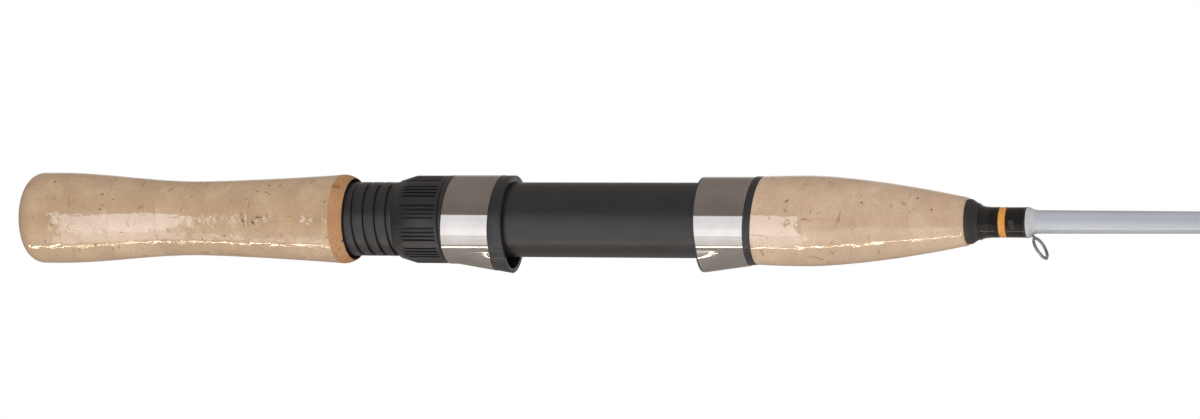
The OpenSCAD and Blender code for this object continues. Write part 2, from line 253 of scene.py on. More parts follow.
def between(tree, source, low, high, toLow=0.0, toHigh=1.0):
    node = tree.nodes.new("ShaderNodeMapRange")
    for name, value in (("From Min", low), ("From Max", high), ("To Min", toLow), ("To Max", toHigh)):
        node.inputs[name].default_value = value
    tree.links.new(source, node.inputs["Value"])
    return node.outputs["Result"]


def blendColour(tree, amount, first, second, kind="MIX"):
    node = tree.nodes.new("ShaderNodeMix")
    node.data_type = "RGBA"
    node.blend_type = kind
    node.clamp_factor = True
    if isinstance(amount, float):
        node.inputs["Factor"].default_value = amount
    else:
        tree.links.new(amount, node.inputs["Factor"])
    for socket, value in ((node.inputs["A"], first), (node.inputs["B"], second)):
        if isinstance(value, tuple):
            socket.default_value = (*value, 1)
        else:
            tree.links.new(value, socket)
    return node.outputs["Result"]


def sums(tree, first, second, kind="ADD"):
    node = tree.nodes.new("ShaderNodeMath")
    node.operation = kind
    for socket, value in zip(node.inputs, (first, second)):
        if isinstance(value, float):
            socket.default_value = value
        else:
            tree.links.new(value, socket)
    return node.outputs["Value"]


def relief(tree, height, depth, strength=1.0):
    node = tree.nodes.new("ShaderNodeBump")
    node.inputs["Strength"].default_value = strength
    node.inputs["Distance"].default_value = depth
    tree.links.new(height, node.inputs["Height"])
    return node.outputs["Normal"]


corkLook = {
    "pale": (0.69, 0.53, 0.37),
    "tan": (0.59, 0.43, 0.285),
    "brown": (0.52, 0.37, 0.24),
    "pit": (0.14, 0.07, 0.035),
    "streak": (0.33, 0.19, 0.10),
    "blush": (0.70, 0.45, 0.36),
}


def corkFinish(name, ring, film, tint=(1, 1, 1)):
    material, tree, shader = newFinish(name)
    shift = (0.013 * ring, 0.021 * ring, 0.017 * ring)
    even = coordinates(tree, shift)
    along = coordinates(tree, shift, (0.3, 1, 1))
    across = coordinates(tree, shift, (1, 0.28, 0.28))
    mottle = noise(tree, even, 95, 5, 0.6)
    colour = ramp(
        tree, mottle, (0.30, corkLook["brown"]), (0.72, corkLook["pale"]), (0.52, corkLook["tan"])
    )
    blush = between(tree, noise(tree, across, 210, 3), 0.58, 0.72, 0.0, 0.35)
    colour = blendColour(tree, blush, colour, corkLook["blush"])
    fine = noise(tree, even, 2600, 6, 0.7)
    grain = ramp(tree, fine, (0.3, (0.80, 0.78, 0.76)), (0.7, (1.06, 1.06, 1.06)))
    colour = blendColour(tree, 1.0, colour, grain, "MULTIPLY")
    streaks = between(tree, noise(tree, along, 420, 3, 0.55, 0.6), 0.655, 0.72, 0.0, 0.75)
    colour = blendColour(tree, streaks, colour, corkLook["streak"])
    cracks = between(tree, noise(tree, across, 520, 2, 0.5, 0.8), 0.67, 0.73, 0.0, 0.7)
    colour = blendColour(tree, cracks, colour, corkLook["streak"])
    pits = between(tree, noise(tree, even, 620, 2, 0.5, 0.4), 0.70, 0.76)
    colour = blendColour(tree, pits, colour, corkLook["pit"])
    colour = blendColour(tree, 1.0, colour, tint, "MULTIPLY")
    tree.links.new(colour, shader.inputs["Base Color"])
    shader.inputs["Roughness"].default_value = 0.82
    shader.inputs["Specular IOR Level"].default_value = 0.25
    hollow = sums(tree, sums(tree, pits, streaks), cracks)
    surface = sums(tree, noise(tree, even, 2600, 6, 0.7), sums(tree, hollow, 2.0, "MULTIPLY"), "SUBTRACT")
    tree.links.new(relief(tree, surface, 0.00006), shader.inputs["Normal"])
    if film:  # clear shrink film, wrinkled where it didn't pull tight
        shader.inputs["Coat Weight"].default_value = 1.0
        shader.inputs["Coat Roughness"].default_value = 0.05
        shader.inputs["Coat IOR"].default_value = 2.4
        shader.inputs["Coat Tint"].default_value = (1.0, 0.99, 0.98, 1)
        waves = noise(tree, coordinates(tree, shift, (0.45, 1, 1)), 190, 3, 0.55)
        crinkles = noise(tree, even, 900, 3, 0.6, 0.5)
        patches = between(tree, noise(tree, even, 75, 2), 0.44, 0.62, 0.15, 1.0)
        crinkles = sums(tree, crinkles, patches, "MULTIPLY")
        film = sums(tree, waves, sums(tree, crinkles, 0.22, "MULTIPLY"))
        tree.links.new(relief(tree, film, 0.00032), shader.inputs["Coat Normal"])
    return material


def plasticFinish(name, base, roughness, grainDepth):
    material, tree, shader = newFinish(name)
    even = coordinates(tree)
    cloud = noise(tree, even, 130, 4, 0.55)
    lighter = tuple(c * 1.35 + 0.002 for c in base)
    colour = ramp(tree, cloud, (0.3, base), (0.75, lighter))
    dust = between(tree, noise(tree, even, 1700, 3), 0.66, 0.8, 0.0, 0.22)
    colour = blendColour(tree, dust, colour, (0.10, 0.10, 0.105))
    tree.links.new(colour, shader.inputs["Base Color"])
    shader.inputs["IOR"].default_value = 1.64
    shader.inputs["Specular Tint"].default_value = (0.87, 0.91, 1.0, 1)
    worn = between(tree, noise(tree, even, 260, 5, 0.6), 0.3, 0.7, roughness - 0.05, roughness + 0.07)
    tree.links.new(worn, shader.inputs["Roughness"])
    tree.links.new(relief(tree, noise(tree, even, 4200, 3), grainDepth), shader.inputs["Normal"])
    return material


def steelFinish(name, base, roughness):
    material, tree, shader = newFinish(name)
    even = coordinates(tree)
    around = coordinates(tree, (0, 0, 0), (1, 0.04, 0.04))
    brush = noise(tree, around, 5200, 3, 0.6)
    smear = noise(tree, even, 170, 4, 0.55)
    darker = tuple(c * 0.9 for c in base)
    lighter = tuple(c * 1.05 for c in base)
    colour = ramp(tree, smear, (0.3, darker), (0.7, lighter))
    tree.links.new(colour, shader.inputs["Base Color"])
    shader.inputs["Metallic"].default_value = 1.0
    worn = between(tree, smear, 0.3, 0.7, roughness - 0.02, roughness + 0.03)
    tree.links.new(worn, shader.inputs["Roughness"])
    dents = sums(tree, sums(tree, brush, 0.05, "MULTIPLY"), noise(tree, even, 160, 2))
    tree.links.new(relief(tree, dents, 0.000005), shader.inputs["Normal"])
    return material


def threadFinish(name, base, edge=None):
    # fine thread laid side by side round the rod, wetted out by the clear coat
    material, tree, shader = newFinish(name)
    even = coordinates(tree)
    turns = tree.nodes.new("ShaderNodeTexWave")
    turns.bands_direction = "X"
    turns.inputs["Scale"].default_value = 1000
    turns.inputs["Distortion"].default_value = 0.25
    turns.inputs["Detail Scale"].default_value = 1.0
    tree.links.new(even, turns.inputs["Vector"])
    fuzz = noise(tree, coordinates(tree, (0, 0, 0), (1, 0.2, 0.2)), 1900, 3)
    # painted shade: the colour darkens to 0.6 of the thread's own in the grooves between turns, where the
    # bump is lowest
    grooveShade = tuple(c * 0.6 for c in base)
    colour = ramp(tree, turns.outputs["Fac"], (0.1, grooveShade), (0.8, base))
    bright = tuple(min(1, c * 1.5 + 0.002) for c in base)
    colour = blendColour(tree, between(tree, fuzz, 0.4, 0.75, 0.0, 0.3), colour, bright)
    if edge:
        split = tree.nodes.new("ShaderNodeSeparateXYZ")
        tree.links.new(even, split.inputs[0])
        middle, half, colourOut = edge
        off = sums(tree, split.outputs["X"], middle, "SUBTRACT")
        away = sums(tree, off, 0.0, "ABSOLUTE")
        ends = between(tree, away, half * 0.72, half * 0.86)
        colour = blendColour(tree, ends, colour, colourOut)
    tree.links.new(colour, shader.inputs["Base Color"])
    shader.inputs["Roughness"].default_value = 0.5
    shader.inputs["Specular IOR Level"].default_value = 0.2
    shader.inputs["Coat Weight"].default_value = 1.0
    shader.inputs["Coat IOR"].default_value = 1.33
    shader.inputs["Coat Roughness"].default_value = 0.05
    tree.links.new(relief(tree, turns.outputs["Fac"], 0.00003, 0.6), shader.inputs["Normal"])
    tree.links.new(relief(tree, noise(tree, even, 200, 2), 0.00005), shader.inputs["Coat Normal"])
    return material


def lacquerFinish(name):
    material, tree, shader = newFinish(name)
    along = coordinates(tree, (0, 0, 0), (0.15, 1, 1))
    cloud = noise(tree, along, 160, 4, 0.5)
    colour = ramp(tree, cloud, (0.3, (0.48, 0.54, 0.62)), (0.7, (0.56, 0.62, 0.70)))
    flake = noise(tree, coordinates(tree), 6500, 2, 0.6)
    colour = blendColour(tree, between(tree, flake, 0.55, 0.75, 0.0, 0.35), colour, (0.70, 0.73, 0.80))
    tree.links.new(colour, shader.inputs["Base Color"])
    shader.inputs["Metallic"].default_value = 0.25
    tree.links.new(between(tree, flake, 0.3, 0.7, 0.30, 0.42), shader.inputs["Roughness"])
    shader.inputs["Coat Weight"].default_value = 0.9
    shader.inputs["Coat Roughness"].default_value = 0.05
    peel = relief(tree, noise(tree, along, 600, 2), 0.00002)
    tree.links.new(peel, shader.inputs["Coat Normal"])
    return material


def coatFinish(name, base):  # cured clear coat, which takes the colour of what it covers
    material, tree, shader = newFinish(name)
    even = coordinates(tree)
    lighter = tuple(c * 1.12 + 0.001 for c in base)
    colour = ramp(tree, noise(tree, even, 240, 3), (0.3, base), (0.7, lighter))
    tree.links.new(colour, shader.inputs["Base Color"])
    shader.inputs["Roughness"].default_value = 0.3
    shader.inputs["Specular IOR Level"].default_value = 0.2
    shader.inputs["Coat Weight"].default_value = 1.0
    shader.inputs["Coat IOR"].default_value = 1.38
    shader.inputs["Coat Roughness"].default_value = 0.03
    tree.links.new(relief(tree, noise(tree, even, 240, 2), 0.00008), shader.inputs["Coat Normal"])
    return material


def ceramicFinish(name):
    material, tree, shader = newFinish(name)
    even = coordinates(tree)
    cloud = noise(tree, even, 900, 4)
    colour = ramp(tree, cloud, (0.3, (0.030, 0.031, 0.036)), (0.75, (0.060, 0.062, 0.072)))
    tree.links.new(colour, shader.inputs["Base Color"])
    worn = between(tree, noise(tree, even, 400, 3), 0.3, 0.7, 0.10, 0.2)
    tree.links.new(worn, shader.inputs["Roughness"])
    shader.inputs["Coat Weight"].default_value = 0.5
    shader.inputs["Coat Roughness"].default_value = 0.03
    tree.links.new(relief(tree, noise(tree, even, 2500, 2), 0.000004), shader.inputs["Normal"])
    return material


rearTint = (1.07, 1.05, 1.0)
foreTint = (1.18, 1.20, 1.26)
bareCork = corkFinish("bareCork", 3, film=False, tint=(0.88, 0.69, 0.54))
# painted shade: a dark reddish brown cork for the recess round the barrel and the rim's front face
recessShadeCork = corkFinish("recessShadeCork", 5, film=False, tint=(0.36, 0.20, 0.13))
seatBlack = plasticFinish("seatBlack", (0.013, 0.0132, 0.0145), 0.37, 0.00001)
checkBlack = plasticFinish("checkBlack", (0.018, 0.017, 0.018), 0.48, 0.000012)
hoodSteel = steelFinish("hoodSteel", (0.47, 0.455, 0.445), 0.08)
guideSteel = steelFinish("guideSteel", (0.27, 0.275, 0.29), 0.22)
keeperSteel = steelFinish("keeperSteel", (0.52, 0.53, 0.54), 0.24)
threadBlack = threadFinish("threadBlack", (0.006, 0.006, 0.006))
blankGrey = lacquerFinish("blankGrey")
coatOnThread = coatFinish("coatOnThread", (0.010, 0.010, 0.010))
coatOnBlank = coatFinish("coatOnBlank", (0.50, 0.53, 0.57))
ceramic = ceramicFinish("ceramic")
print("finishes mixed")


# rear grip

rearGrip = {
    "rings": 7,
    "buttRound": 0.0042,
    "swell": 0.008,
    "waist": 0.049,
    "waistRadius": 0.00995,
    "waistPower": 1.45,
    "rimLength": 0.003,
    "rimDrop": 0.00095,
    "recessRadius": 0.0106,
    "recessStart": 0.08595,
    "bore": 0.00315,
    "buttPlug": 0.005,
    "seam": 0.00003,
    "glueLine": 0.00004,
    "filmEnd": 0.0037,
    "step": 0.0012,
    "fineStep": 0.0006,
    "pole": 0.00002,
    "buttSteps": 10,
    "recessWall": 0.00045,
}
buttRadius = reach("rear_cork_1")[2]
palmRadius = reach("rear_cork_7")[2]
rearLength = reach("rear_cork_7")[1]


def rearRadius(x):
    if x < rearGrip["buttRound"]:
        drop = rearGrip["buttRound"] - x
        return buttRadius - rearGrip["buttRound"] + math.sqrt(max(0, rearGrip["buttRound"] ** 2 - drop ** 2))
    if x < rearGrip["swell"]:
        return buttRadius
    if x < rearGrip["waist"]:
        turn = math.pi * (x - rearGrip["swell"]) / (rearGrip["waist"] - rearGrip["swell"])
        middle = (buttRadius + rearGrip["waistRadius"]) / 2
        swing = (buttRadius - rearGrip["waistRadius"]) / 2
        return middle + swing * math.cos(turn)
    rim = rearLength - rearGrip["rimLength"]
    if x < rim:
        rise = (x - rearGrip["waist"]) / (rim - rearGrip["waist"])
        growth = palmRadius - rearGrip["waistRadius"]
        return rearGrip["waistRadius"] + growth * rise ** rearGrip["waistPower"]
    return palmRadius - rearGrip["rimDrop"] * ((x - rim) / rearGrip["rimLength"]) ** 2


def places(start, end, step):
    count = max(2, round((end - start) / step))
    return [start + (end - start) * i / count for i in range(count + 1)]


def corkRing(name, start, end, radiusAt, inner, seamStart, seamEnd, step):
    # inner is the bore's outline from the front end back to the rear end
    seam = rearGrip["seam"]
    outline = []
    for x in places(start, end, step):
        outline.append((x, radiusAt(x)))
    if seamStart:
        first = outline[0]
        outline[0:1] = [(first[0], first[1] - seam), (first[0] + seam, radiusAt(first[0] + seam))]
    if seamEnd:
        last = outline[-1]
        outline[-1:] = [(last[0] - seam, radiusAt(last[0] - seam)), (last[0], last[1] - seam)]
    return turnRings(name, outline + inner + [outline[0]])


for i in range(1, rearGrip["rings"] + 1):
    start, end, _ = reach(f"rear_cork_{i}")
    if i < rearGrip["rings"]:
        end += rearGrip["glueLine"]
    bore = rearGrip["bore"]
    inner = [(end, bore), (start, bore)]
    if i == 1:  # the butt face stays whole, and the bore stops short of it
        inner = [(end, bore), (rearGrip["buttPlug"], bore), (rearGrip["buttPlug"], rearGrip["pole"])]
    if i == rearGrip["rings"]:
        recess = rearGrip["recessStart"]
        wide = rearGrip["recessRadius"]
        inner = [(end, wide), (recess, wide), (recess, bore), (start, bore)]
    step = rearGrip["fineStep"] if i in (1, rearGrip["rings"]) else rearGrip["step"]
    if i == 1:
        outline = [(0, rearGrip["pole"]), (0, buttRadius - rearGrip["buttRound"])]
        steps = rearGrip["buttSteps"]
        for k in range(1, steps + 1):
            turn = math.pi / 2 * k / steps
            outline.append((
                rearGrip["buttRound"] * (1 - math.cos(turn)),
                buttRadius - rearGrip["buttRound"] * (1 - math.sin(turn)),
            ))
        along = places(rearGrip["buttRound"], end - rearGrip["seam"], rearGrip["step"])
        outline += [(x, rearRadius(x)) for x in along[1:]]
        outline.append((end, rearRadius(end) - rearGrip["seam"]))
        piece = turnRings("rearCork1", outline + inner)
        capEnds(piece)  # closes the small poles on the axis
    else:
        piece = corkRing(
            f"rearCork{i}", start, end, rearRadius, inner, True, i < rearGrip["rings"], step
        )
    smooth(piece, 40)
    wrapped = corkFinish(f"rearCorkFilm{i}", i, film=True, tint=rearTint)
    finishPiece(piece, "rod", [f"rear_cork_{i}"], "cork", wrapped, bareCork, recessShadeCork)
    if i == rearGrip["rings"]:  # the turned rim is bare cork, and the recess walls and the rim's front face carry painted shade
        for face in piece.data.polygons:
            centre = face.center
            away = math.hypot(centre.y, centre.z)
            inRecess = away < rearRadius(centre.x) - rearGrip["recessWall"]
            if inRecess or centre.x > rearLength - 0.00001:
                face.material_index = 2
            elif centre.x > rearLength - rearGrip["filmEnd"]:
                face.material_index = 1
print("rear grip turned")


# front grip

frontGrip = {
    "rings": 4,
    "peak": 0.219,
    "power": 1.57,
    "start": 0.20635,
    "rearRadius": 0.0115,
    "endRadius": 0.0062,
    "bore": 0.00315,
    "step": 0.0012,
}
foreStart = frontGrip["start"]
foreEnd = reach("fore_cork_4")[1]
foreRadiusMax = reach("fore_cork_1")[2]
rake = 4.3  # lean of the hoods' cut edges, in degrees


def foreRadius(x):
    if x < frontGrip["peak"]:
        back = (frontGrip["peak"] - x) / (frontGrip["peak"] - foreStart)
        return foreRadiusMax - (foreRadiusMax - frontGrip["rearRadius"]) * back ** 2
    ahead = (x - frontGrip["peak"]) / (foreEnd - frontGrip["peak"])
    return foreRadiusMax - (foreRadiusMax - frontGrip["endRadius"]) * ahead ** frontGrip["power"]


for i in range(1, frontGrip["rings"] + 1):
    start, end, _ = reach(f"fore_cork_{i}")
    if i < frontGrip["rings"]:
        end += rearGrip["glueLine"]
    inner = [(end, frontGrip["bore"]), (start, frontGrip["bore"])]
    piece = corkRing(f"foreCork{i}", start, end, foreRadius, inner, i > 1, True, frontGrip["step"])
    if i == 1:
        cutAcross(piece, foreStart, rake, keepFront=True)
    smooth(piece, 40)
    wrapped = corkFinish(f"foreCorkFilm{i}", i + 8, film=True, tint=foreTint)
    finishPiece(piece, "rod", [f"fore_cork_{i}"], "cork", wrapped)
print("front grip turned")


# blank

blankPlan = {
    "places": (0.262, 0.530),
    "radii": (0.0031, 0.00195, 0.00095),
    "sides": 48,
    "step": 0.02,
    "edge": 0.0002,
}
blankStart, blankEnd, _ = reach("blank")


def blankRadius(x):
    p0, p1 = blankPlan["places"]
    r0, r1, r2 = blankPlan["radii"]
    if x < p0:
        return r0
    if x < p1:
        return r0 + (r1 - r0) * (x - p0) / (p1 - p0)
    return r1 + (r2 - r1) * (x - p1) / (blankEnd - p1)


edge = blankPlan["edge"]
butt = blankPlan["radii"][0]
outline = [(blankStart, 0.0029), (blankStart + edge, butt)]
for x in places(blankPlan["places"][0], blankEnd - edge, blankPlan["step"]):
    outline.append((x, blankRadius(x)))
outline.append((blankEnd, blankRadius(blankEnd) - edge))
piece = turnRings("rodBlank", outline, blankPlan["sides"], solid=True)
smooth(piece)
finishPiece(piece, "rod", ["blank"], "blank_grey", blankGrey)


# reel seat

seat = {
    "radius": 0.00985,
    "bore": 0.00775,
    "start": 0.086,
    "hoodStart": 0.1907,
    "hoodRadius": 0.0114,
    "hoodEnd": 0.2043,
    "flangeRadius": 0.0115,
    "flangeEnd": 0.2063,
    "lip": 0.00035,
    "rimInset": 0.0001,
    "bandWall": 0.0005,
    "coreInset": 0.00055,
    "roomRadius": 0.0146,
    "flangeStart": 0.2028,
    "overrun": 0.0040,
    "hoodWall": 0.0013,
    "bulgeRadius": 0.009,
    "pocketFront": 0.2019,
    "edge": 0.0002,
    "plain": (0.0946, 0.1320),
    "bandStart": 0.0004,
    "boreEnd": 0.2103,
    "keyway": (0.094, 0.137),
    "keywayWidth": 0.003,
    "keywayFloor": 0.009,
}
fixedBulge = ((0.1910, -0.00445), (0.2030, -0.00275))
groove = {
    "span": (0.0956, 0.1304),
    "pitch": 0.0032,
    "phase": 20.0,
    "top": 0.0006,
    "bottom": 0.00033,
    "floor": 0.00925,
    "over": 0.0003,
    "steps": 36,
    "runOut": 10,
}


def bulgeBar(name, start, end, radius, axis, sides=128):
    # the low round of a hood, on an axis that leans away from the barrel
    (x0, z0), (x1, z1) = axis
    slope = (z1 - z0) / (x1 - x0)
    tilt = math.atan(slope)
    middle = (start + end) / 2
    clearAll()
    bpy.ops.mesh.primitive_cylinder_add(
        vertices=sides, radius=radius, depth=end - start + 0.02,
        location=(middle, 0, z0 + slope * (middle - x0)), rotation=(0, math.pi / 2 - tilt, 0),
    )
    obj = takeNew(name)
    cutAcross(obj, start, 0, keepFront=True)
    cutAcross(obj, end, 0, keepFront=False)
    return obj


def hoodForm(name, start, end, radius, inset, axis):
    form = bar(name, start - 0.001, end + 0.001, radius - inset)
    low = bulgeBar("lowRound", start - 0.002, end + 0.002, seat["bulgeRadius"] - inset, axis)
    boolean(form, low, "UNION")
    cutAcross(form, start, 0, keepFront=True)
    cutAcross(form, end, 0, keepFront=False)
    return form


def bandRoom(start, end, leanStart, leanEnd, radius, axis):
    # what is taken off a hood to let its steel band in flush
    room = bar("bandRoom", start - 0.003, end + 0.003, seat["roomRadius"])
    cutAcross(room, start, leanStart, keepFront=True)
    cutAcross(room, end, leanEnd, keepFront=False)
    boolean(room, hoodForm("bandCore", start - 0.005, end + 0.005, radius, seat["coreInset"], axis))
    return room


def helix(name):
    start, end = groove["span"]
    turns = (end - start) / groove["pitch"]
    outer = seat["radius"] + groove["over"]
    height = outer - groove["floor"]
    middle = (outer + groove["floor"]) / 2
    clearAll()
    bpy.ops.mesh.primitive_plane_add(size=1, location=(start, 0, middle), rotation=(math.pi / 2, 0, 0))
    obj = bpy.context.active_object
    obj.scale = (2 * groove["top"], height, 1)
    obj = takeNew(name)
    low = [v.co.z < middle for v in obj.data.vertices]
    resizeSome(obj, low, (groove["bottom"] / groove["top"], 1, 1), (start, 0, groove["floor"]))
    turnAboutRod(obj, 360 * start / groove["pitch"] + groove["phase"])
    mod = obj.modifiers.new("thread", "SCREW")
    mod.axis = "X"
    mod.angle = 2 * math.pi * turns
    mod.screw_offset = end - start
    mod.steps = round(turns * groove["steps"])
    mod.render_steps = mod.steps
    applyLast(obj)
    count = len(obj.data.vertices) // 4
    for k in range(groove["runOut"]):  # the groove runs out to the surface at both ends
        climb = (seat["radius"] - groove["floor"]) * (1 - k / groove["runOut"])
        lift = (groove["floor"] + climb) / groove["floor"]
        for ring in (k, count - 1 - k):
            picked = [index // 4 == ring and low[index % 4] for index in range(count * 4)]
            x = obj.data.vertices[ring * 4].co.x
            resizeSome(obj, picked, (1, lift, lift), (x, 0, 0))
    capEnds(obj)
    return obj


seatEnd = seat["flangeEnd"] + seat["overrun"]
piece = turnRings("reelSeat", [
    (seat["start"], seat["radius"] - seat["edge"]),
    (seat["start"] + seat["edge"], seat["radius"]),
    (seat["plain"][0], seat["radius"]),
    (seat["plain"][1], seat["radius"]),
    (seatEnd, seat["radius"]),
], 128, solid=True)
boolean(piece, helix("grooveTool"))
hood = hoodForm(
    "hoodShell", seat["hoodStart"], seatEnd - 0.0005, seat["hoodRadius"], seat["rimInset"], fixedBulge
)
boolean(hood, bar("flange", seat["flangeStart"], seatEnd - 0.0002, seat["flangeRadius"]), "UNION")
boolean(
    hood, bandRoom(seat["hoodStart"] + seat["lip"], seat["hoodEnd"], 0, rake, seat["hoodRadius"], fixedBulge)
)
boolean(
    hood, bar("hoodHollow", seat["hoodStart"] - overshoot, seatEnd + overshoot, seat["radius"] - 0.00015, 96)
)
pocketRadius = seat["bulgeRadius"] - seat["hoodWall"]
pocketTool = bulgeBar(
    "pocketTool", seat["hoodStart"] - overshoot, seat["pocketFront"], pocketRadius, fixedBulge
)
boolean(hood, pocketTool)
boolean(piece, hood, "UNION")
cutAcross(piece, seat["flangeEnd"], rake, keepFront=False)
keyStart, keyEnd = seat["keyway"]
key = block(
    "keywayTool",
    ((keyStart + keyEnd) / 2, 0, -seat["keywayFloor"] - overshoot),
    (keyEnd - keyStart, seat["keywayWidth"], 2 * overshoot),
)
boolean(piece, key)
boolean(piece, bar("boreTool", seat["start"] - overshoot, seat["boreEnd"], seat["bore"], 96))
tidyMesh(piece)
smooth(piece, 30)
finishPiece(piece, "rod", ["reel_seat"], "seat_black", seatBlack)
print("reel seat moulded")


slivers = 0.00003  # edges shorter than this are closed up before a corner is eased


def steelBand(name, start, end, rakeStart, rakeEnd, radius, axis):
    outer = hoodForm(name, start - 0.003, end + 0.003, radius, 0, axis)
    softenEdges(outer, 0.0004, 12, 3)  # eases the crease where the low round leaves the barrel's round
    boolean(outer, hoodForm("bandInside", start - 0.004, end + 0.004, radius, seat["bandWall"], axis))
    cutAcross(outer, start, rakeStart, keepFront=True)
    cutAcross(outer, end, rakeEnd, keepFront=False)
    tidyMesh(outer, slivers)
    softenEdges(outer, 0.0001, 50, 2)
    smooth(outer, 20)
    return outer


band = steelBand(
    "fixedHoodBand", seat["hoodStart"] + seat["bandStart"], seat["hoodEnd"] - 0.00005,
    0, rake, seat["hoodRadius"], fixedBulge,
)
finishPiece(band, "rod", ["fixed_hood_band"], "hood_steel", hoodSteel)


# lock nut

nutPlan = {
    "radius": 0.0116,
    "bore": 0.00998,
    "rearRadius": 0.0104,
    "cone": 0.0043,
    "edge": 0.0003,
    "groups": 12,
    "slots": 4,
    "slotWidth": 0.00055,
    "slotFloor": 0.011,
    "slotStep": 5.4,
    "slotPhase": 19.9,
    "slotLand": 0.0011,
}
nutStart, nutEnd, _ = reach("lock_nut")
nutRadius = nutPlan["radius"]
nut = turnRings("lockNut", [
    (nutStart, nutPlan["bore"]),
    (nutStart, nutPlan["rearRadius"] - nutPlan["edge"]),
    (nutStart + nutPlan["edge"], nutPlan["rearRadius"]),
    (nutStart + nutPlan["cone"], nutRadius),
    (nutEnd - nutPlan["edge"], nutRadius),
    (nutEnd, nutRadius - nutPlan["edge"]),
    (nutEnd, nutPlan["bore"]),
    (nutStart, nutPlan["bore"]),
], 180)
slotEnd = nutEnd - nutPlan["slotLand"]
slotStart = nutStart - overshoot
tools = []
for group in range(nutPlan["groups"]):
    for k in range(nutPlan["slots"]):
        tool = block(
            "slotTool",
            ((slotStart + slotEnd) / 2, 0, -(nutPlan["slotFloor"] + overshoot)),
            (slotEnd - slotStart, nutPlan["slotWidth"], 2 * overshoot),
        )
        fromMiddle = nutPlan["slotStep"] * (k - (nutPlan["slots"] - 1) / 2)
        turnAboutRod(tool, nutPlan["slotPhase"] + 360 / nutPlan["groups"] * group + fromMiddle)
        tools.append(tool)
moveTogether(tools[0], *tools[1:])
boolean(nut, tools[0])
tidyMesh(nut, slivers)
softenEdges(nut, 0.00007, 40, 2)
smooth(nut, 30)
finishPiece(nut, "nut", ["lock_nut"], "seat_black", seatBlack)
print("lock nut knurled")


# sliding hood

slide = {
    "start": reach("slide_hood_liner")[0],
    "end": 0.13805,
    "radius": 0.01175,
    "band": (0.1221, 0.13495),
    "bore": 0.00998,
    "pocketBack": 0.12575,
    "front": 0.1386,
    "frontRake": 1.6,
}
slideBulge = ((0.1240, -0.00275), (0.1375, -0.00495))
liner = hoodForm(
    "slidingHoodLiner", slide["start"], slide["end"] + 0.002, slide["radius"], seat["rimInset"], slideBulge
)
roomStart = slide["band"][0] - glue
roomEnd = slide["band"][1] + glue
boolean(liner, bandRoom(roomStart, roomEnd, rake, rake, slide["radius"], slideBulge))
cutAcross(liner, slide["front"], slide["frontRake"], keepFront=False)
boolean(liner, bar("linerBore", slide["start"] - overshoot, slide["end"] + 0.004, slide["bore"]))
boolean(liner, bulgeBar("slidePocket", slide["pocketBack"], slide["end"] + 0.003, pocketRadius, slideBulge))
tidyMesh(liner, slivers)
softenEdges(liner, 0.0002, 50, 3)
smooth(liner, 32)
finishPiece(liner, "sliding_hood", ["slide_hood_liner"], "seat_black", seatBlack)

band = steelBand(
    "slidingHoodBand", slide["band"][0], slide["band"][1], rake, rake, slide["radius"], slideBulge
)
finishPiece(band, "sliding_hood", ["slide_hood_band"], "hood_steel", hoodSteel)
print("sliding hood pressed")


# winding check, butt winding, trim band and clear coat

checkPlan = {
    "bore": 0.00315,
    "outline": (  # (distance from its rear face, radius)
        (0, 0.0057), (0.0001, 0.0058), (0.0003, 0.00585), (0.0007, 0.00582), (0.0011, 0.0057),
        (0.0015, 0.0055), (0.0019, 0.0052), (0.0023, 0.00495), (0.0028, 0.0047), (0.0032, 0.0046),
        (0.0033, 0.00455),
    ),
}
start, end, _ = reach("winding_check")
bore = checkPlan["bore"]
rings = [(start, bore)] + [(start + x, r) for x, r in checkPlan["outline"]]
check = turnRings("windingCheck", rings + [(end, bore), (start, bore)])
smooth(check, 40)
finishPiece(check, "rod", ["winding_check"], "check_black", checkBlack)


def sagBelow(obj, ratio, fromRadius):
    # the thread stands out underneath, where it covers a wire foot
    picked = [v.co.z < -1e-6 and math.hypot(v.co.y, v.co.z) > fromRadius for v in obj.data.vertices]
    resizeSome(obj, picked, (1, 1, ratio), (0, 0, 0))


def winding(name, node, thickness, edge, finish, slotName, sides=72, sag=1.0):
    start, end, _ = reach(node)
    inner = blankRadius(start) + glue
    outer = inner + thickness
    rings = [(start, inner), (start, outer - edge)]
    rings += [(start + edge * 0.4, outer - edge * 0.3), (start + edge, outer)]
    rings += [(x, outer) for x in places(start + edge, end - edge, 0.004)[1:]]
    rings += [(end - edge * 0.4, outer - edge * 0.3), (end, outer - edge), (end, inner), (start, inner)]
    piece = turnRings(name, rings, sides)
    if sag > 1:
        sagBelow(piece, sag, 0)
    smooth(piece, 50)
    return finishPiece(piece, "rod", [node], slotName, finish)


buttWrap = {"thickness": 0.00063, "edge": 0.00008, "trimEdge": 0.00006, "sag": 1.09}
for i in (1, 2):
    winding(
        f"buttWinding{i}", f"butt_winding_{i}", buttWrap["thickness"], buttWrap["edge"],
        threadBlack, "thread_black", sag=buttWrap["sag"],
    )
trimLow, trimHigh, _ = reach("butt_trim_band")
trimEdge = ((trimLow + trimHigh) / 2, (trimHigh - trimLow) / 2, (0.16, 0.02, 0.008))
threadGold = threadFinish("threadGold", (0.84, 0.40, 0.075), trimEdge)
winding(
    "trimBand", "butt_trim_band", buttWrap["thickness"], buttWrap["trimEdge"],
    threadGold, "thread_gold", sag=buttWrap["sag"],
)

